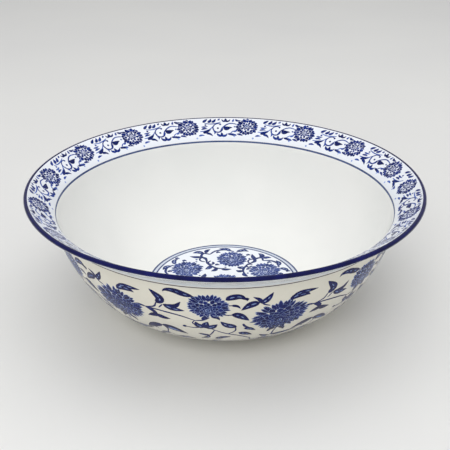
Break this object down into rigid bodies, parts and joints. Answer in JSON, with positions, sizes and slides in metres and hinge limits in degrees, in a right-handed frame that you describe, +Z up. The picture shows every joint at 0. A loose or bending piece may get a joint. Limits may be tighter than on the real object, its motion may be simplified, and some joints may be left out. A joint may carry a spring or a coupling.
{
  "type": "porcelain serving bowl",
  "caption": "Wide footed serving bowl in glazed white porcelain with a flared rim, cobalt lip band, printed flower borders inside and a flower scroll outside.",
  "frame": {"origin": "centre of the annular face that the foot ring rests on", "axes": "+Z up along the bowl's axis of revolution, from the foot to the rim; +X and +Y are level, and -Y is the front of the reference view"},
  "size_m": [0.3, 0.3, 0.1],
  "materials": {
    "porcelain": "unglazed fired porcelain, bare only on the foot's resting face",
    "clear_glaze": "clear gloss glaze over white porcelain",
    "outside_glaze": "clear gloss glaze over white porcelain, a little warmer than inside",
    "cobalt_lip": "dense cobalt blue painted band under gloss glaze",
    "cobalt_print": "cobalt blue printed decoration under gloss glaze",
    "cobalt_line": "paler blue-grey banded line under gloss glaze",
    "grey_line": "thin grey banded line under gloss glaze"
  },
  "bodies": {
    "root": {"foot_ring": "porcelain", "well_floor": "porcelain", "belly_wall": "porcelain", "upper_wall": "porcelain", "flared_rim": "porcelain", "interior_glaze": "clear_glaze", "exterior_glaze": "outside_glaze", "base_glaze": "outside_glaze", "lip_band": "cobalt_lip", "border_transfer": "cobalt_print", "border_line": "cobalt_line", "medallion_transfer": "cobalt_print", "medallion_inner_ring": "cobalt_line", "medallion_outer_ring": "cobalt_line", "exterior_transfer": "cobalt_print", "exterior_line": "grey_line"}
  },
  "joints": []
}
